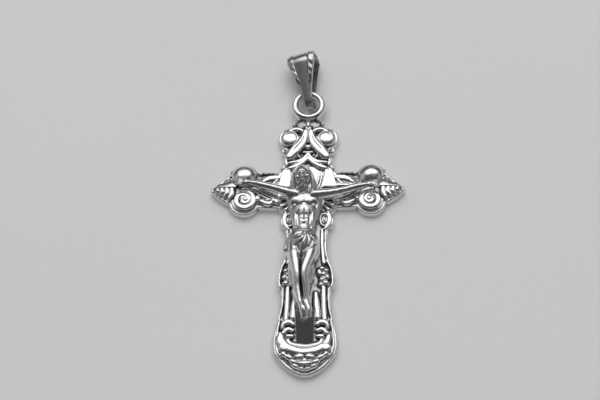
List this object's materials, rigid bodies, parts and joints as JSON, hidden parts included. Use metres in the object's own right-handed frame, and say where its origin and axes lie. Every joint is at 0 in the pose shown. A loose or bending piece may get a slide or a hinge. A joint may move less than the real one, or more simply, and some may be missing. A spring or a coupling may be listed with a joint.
{
  "type": "crucifix pendant",
  "caption": "Small cast silver crucifix pendant with scrolled relief, a corpus on a footrest, and a tapered bail that swings in a fixed ring to take a chain.",
  "frame": {"origin": "centre of the pendant's bounding box in plan, on the flat back face", "axes": "+X along the cross arm to the viewer's right, +Y along the upright towards the bail, +Z out of the front; the pendant lies on its back"},
  "size_m": [0.022, 0.0406, 0.0039],
  "materials": {
    "plate_silver": "polished sterling silver, finely scratched",
    "relief_silver": "bright cast silver relief, darker in its creases",
    "figure_silver": "polished cast silver, slightly darkened",
    "mirror_silver": "flat mirror-polished silver",
    "wire_silver": "polished silver wire and strip"
  },
  "bodies": {
    "cross": {"back_plate": "plate_silver", "crown_cartouche": "relief_silver", "crossing_panel": "relief_silver", "left_arm_scroll": "relief_silver", "right_arm_scroll": "relief_silver", "left_terminal": "relief_silver", "right_terminal": "relief_silver", "shaft_mount": "relief_silver", "foot_shell": "relief_silver", "footrest": "mirror_silver", "corpus": "figure_silver", "left_hand_pin": "plate_silver", "right_hand_pin": "plate_silver", "feet_pin": "plate_silver", "suspension_ring": "wire_silver"},
    "bail": {"bail": "wire_silver"}
  },
  "joints": [
    {"name": "bail_swing", "type": "hinge", "parent": "cross", "child": "bail", "pos_m": [0, 0.0149, 0.0014], "axis": [0.9795, 0.0854, 0.1827], "range_deg": [-110, 100]}
  ]
}
